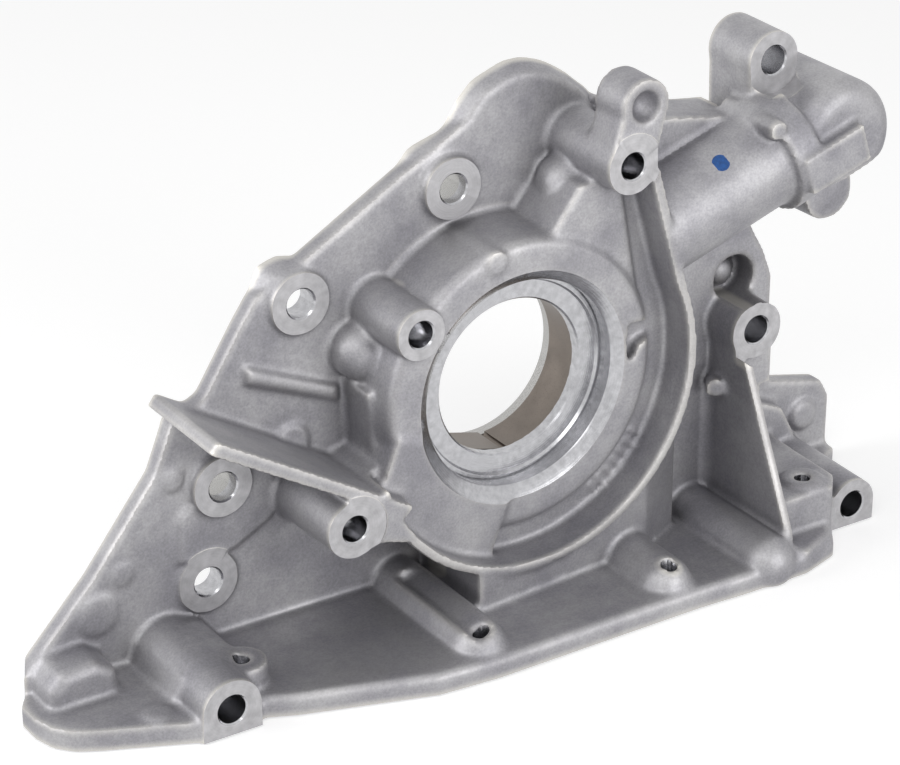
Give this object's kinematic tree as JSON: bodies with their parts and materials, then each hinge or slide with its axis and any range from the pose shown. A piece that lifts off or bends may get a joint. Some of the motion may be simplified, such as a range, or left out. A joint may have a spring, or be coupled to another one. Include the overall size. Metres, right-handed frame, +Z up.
{
  "type": "engine oil pump",
  "caption": "Crank-driven gerotor oil pump for an engine front: die-cast casing with sump flange, rotor set, rear cover, relief valve and outlet tube.",
  "frame": {"origin": "crank axis on the face that meets the cylinder block", "axes": "+Y along the crank axis into the engine, +Z up away from the sump face, +X along the sump flange to the outlet end"},
  "size_m": [0.294, 0.0692, 0.1631],
  "materials": {
    "cast_aluminium": "blasted die-cast, machined seats",
    "sintered_steel": "sintered and ground",
    "ground_steel": "ground",
    "screw_steel": "zinc flake",
    "spring_steel": "drawn wire",
    "seal_rubber": "moulded"
  },
  "bodies": {
    "casing": {"casing": "cast_aluminium", "rear_cover": "ground_steel", "cover_screws": "screw_steel", "cover_dowels": "ground_steel", "relief_spring": "spring_steel", "relief_plug": "screw_steel", "outlet_o_ring": "seal_rubber", "inlet_o_ring": "seal_rubber", "block_dowel_1": "ground_steel", "block_dowel_2": "ground_steel"},
    "inner_rotor": {"inner_rotor": "sintered_steel"},
    "outer_rotor": {"outer_rotor": "sintered_steel"},
    "relief_piston": {"relief_piston": "ground_steel"}
  },
  "joints": [
    {"name": "inner_rotor_spin", "type": "hinge", "parent": "casing", "child": "inner_rotor", "pos_m": [0, 0, 0], "axis": [0, 1, 0], "continuous": true},
    {"name": "outer_rotor_spin", "type": "hinge", "parent": "casing", "child": "outer_rotor", "pos_m": [-0.00141, 0, 0.00141], "axis": [0, 1, 0], "continuous": true},
    {"name": "relief_piston_slide", "type": "slide", "parent": "casing", "child": "relief_piston", "axis": [0, 0, -1], "range_m": [0, 0.007], "stiffness_N_per_m": 3000, "springref_m": -0.004, "deforming": ["relief_spring"]}
  ],
  "couplings": [
    {"joint": "outer_rotor_spin", "follows": "inner_rotor_spin", "ratio": 0.9}
  ]
}
